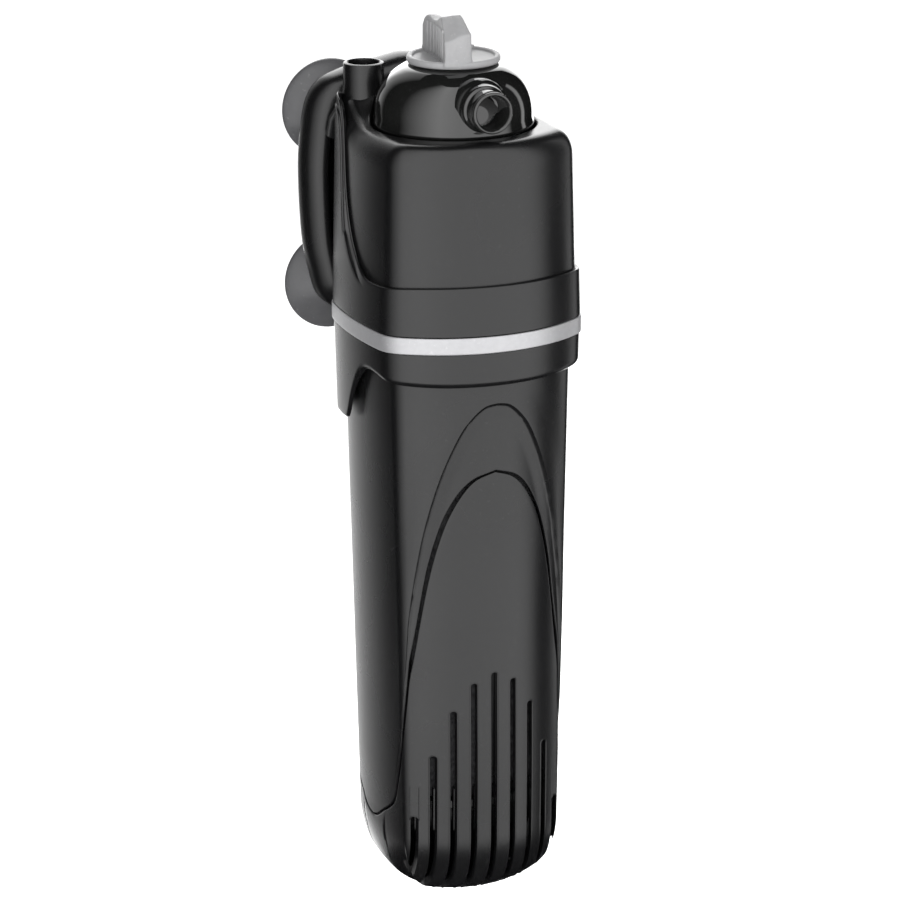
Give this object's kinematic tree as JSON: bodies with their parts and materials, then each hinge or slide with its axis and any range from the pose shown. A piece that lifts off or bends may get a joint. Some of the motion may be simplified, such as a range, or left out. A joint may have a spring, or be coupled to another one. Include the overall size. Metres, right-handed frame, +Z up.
{
  "type": "internal aquarium filter",
  "caption": "Submersible aquarium filter: motor head with swivel outlet and flow knob, pull-off foam container, slotted intake cover, suction-cup holder.",
  "frame": {"origin": "middle of the four suction cups, on the glass they hold to", "axes": "+Z up, along the filter's height; +Y into the glass; -Y is the filter's front"},
  "size_m": [0.0646, 0.0791, 0.2473],
  "materials": {
    "black_satin_plastic": "satin moulded",
    "smoked_gloss_plastic": "polished",
    "silver_trim": "satin silver",
    "light_grey_plastic": "fine moulded",
    "cup_rubber": "smooth",
    "seal_rubber": "matte",
    "foam": "open-cell foam",
    "white_inner_plastic": "satin",
    "stator_iron": "laminated",
    "copper_winding": "enamelled wire",
    "ceramic_shaft": "polished ceramic",
    "ferrite": "sintered"
  },
  "bodies": {
    "holder": {"holder_plate": "black_satin_plastic", "suction_cup_upper_left": "cup_rubber", "suction_cup_upper_right": "cup_rubber", "suction_cup_lower_left": "cup_rubber", "suction_cup_lower_right": "cup_rubber"},
    "pump_head": {"motor_housing": "black_satin_plastic", "rear_surround": "black_satin_plastic", "hanger_rail": "black_satin_plastic", "skirt_collar": "black_satin_plastic", "trim_ring": "silver_trim", "base_plate": "white_inner_plastic", "impeller_cover": "white_inner_plastic", "pump_volute": "white_inner_plastic", "riser_duct": "white_inner_plastic", "rotor_well": "white_inner_plastic", "stator_core": "stator_iron", "coil_bobbin": "white_inner_plastic", "stator_coil": "copper_winding", "dome_seal": "seal_rubber", "impeller_shaft": "ceramic_shaft", "lower_bush": "seal_rubber", "upper_bush": "seal_rubber", "cable_gland": "seal_rubber"},
    "outlet_dome": {"outlet_dome": "smoked_gloss_plastic", "outlet_nozzle": "smoked_gloss_plastic", "knob_seal": "seal_rubber"},
    "flow_knob": {"regulator_knob": "light_grey_plastic", "flow_shutter": "white_inner_plastic"},
    "impeller": {"rotor_magnet": "ferrite", "impeller_wheel": "white_inner_plastic"},
    "container": {"container_shell": "black_satin_plastic", "foam_cartridge": "foam", "cartridge_core": "white_inner_plastic"},
    "intake_cover": {"intake_cover": "black_satin_plastic", "foam_rest": "black_satin_plastic"}
  },
  "joints": [
    {"name": "head_lift", "type": "slide", "parent": "holder", "child": "pump_head", "axis": [0, 0, 1], "range_m": [0, 0.022]},
    {"name": "outlet_swivel", "type": "hinge", "parent": "pump_head", "child": "outlet_dome", "pos_m": [0, -0.046, 0.03], "axis": [0, 0, 1], "range_deg": [-90, 90]},
    {"name": "flow_turn", "type": "hinge", "parent": "outlet_dome", "child": "flow_knob", "pos_m": [0, -0.046, 0.045], "axis": [0, 0, 1], "range_deg": [0, 180]},
    {"name": "impeller_spin", "type": "hinge", "parent": "pump_head", "child": "impeller", "pos_m": [0, -0.046, -0.005], "axis": [0, 0, 1], "continuous": true},
    {"name": "container_pull", "type": "slide", "parent": "pump_head", "child": "container", "axis": [0, 0, -1], "range_m": [0, 0.06]},
    {"name": "cover_pull", "type": "slide", "parent": "container", "child": "intake_cover", "axis": [0, 0, -1], "range_m": [0, 0.1]}
  ]
}
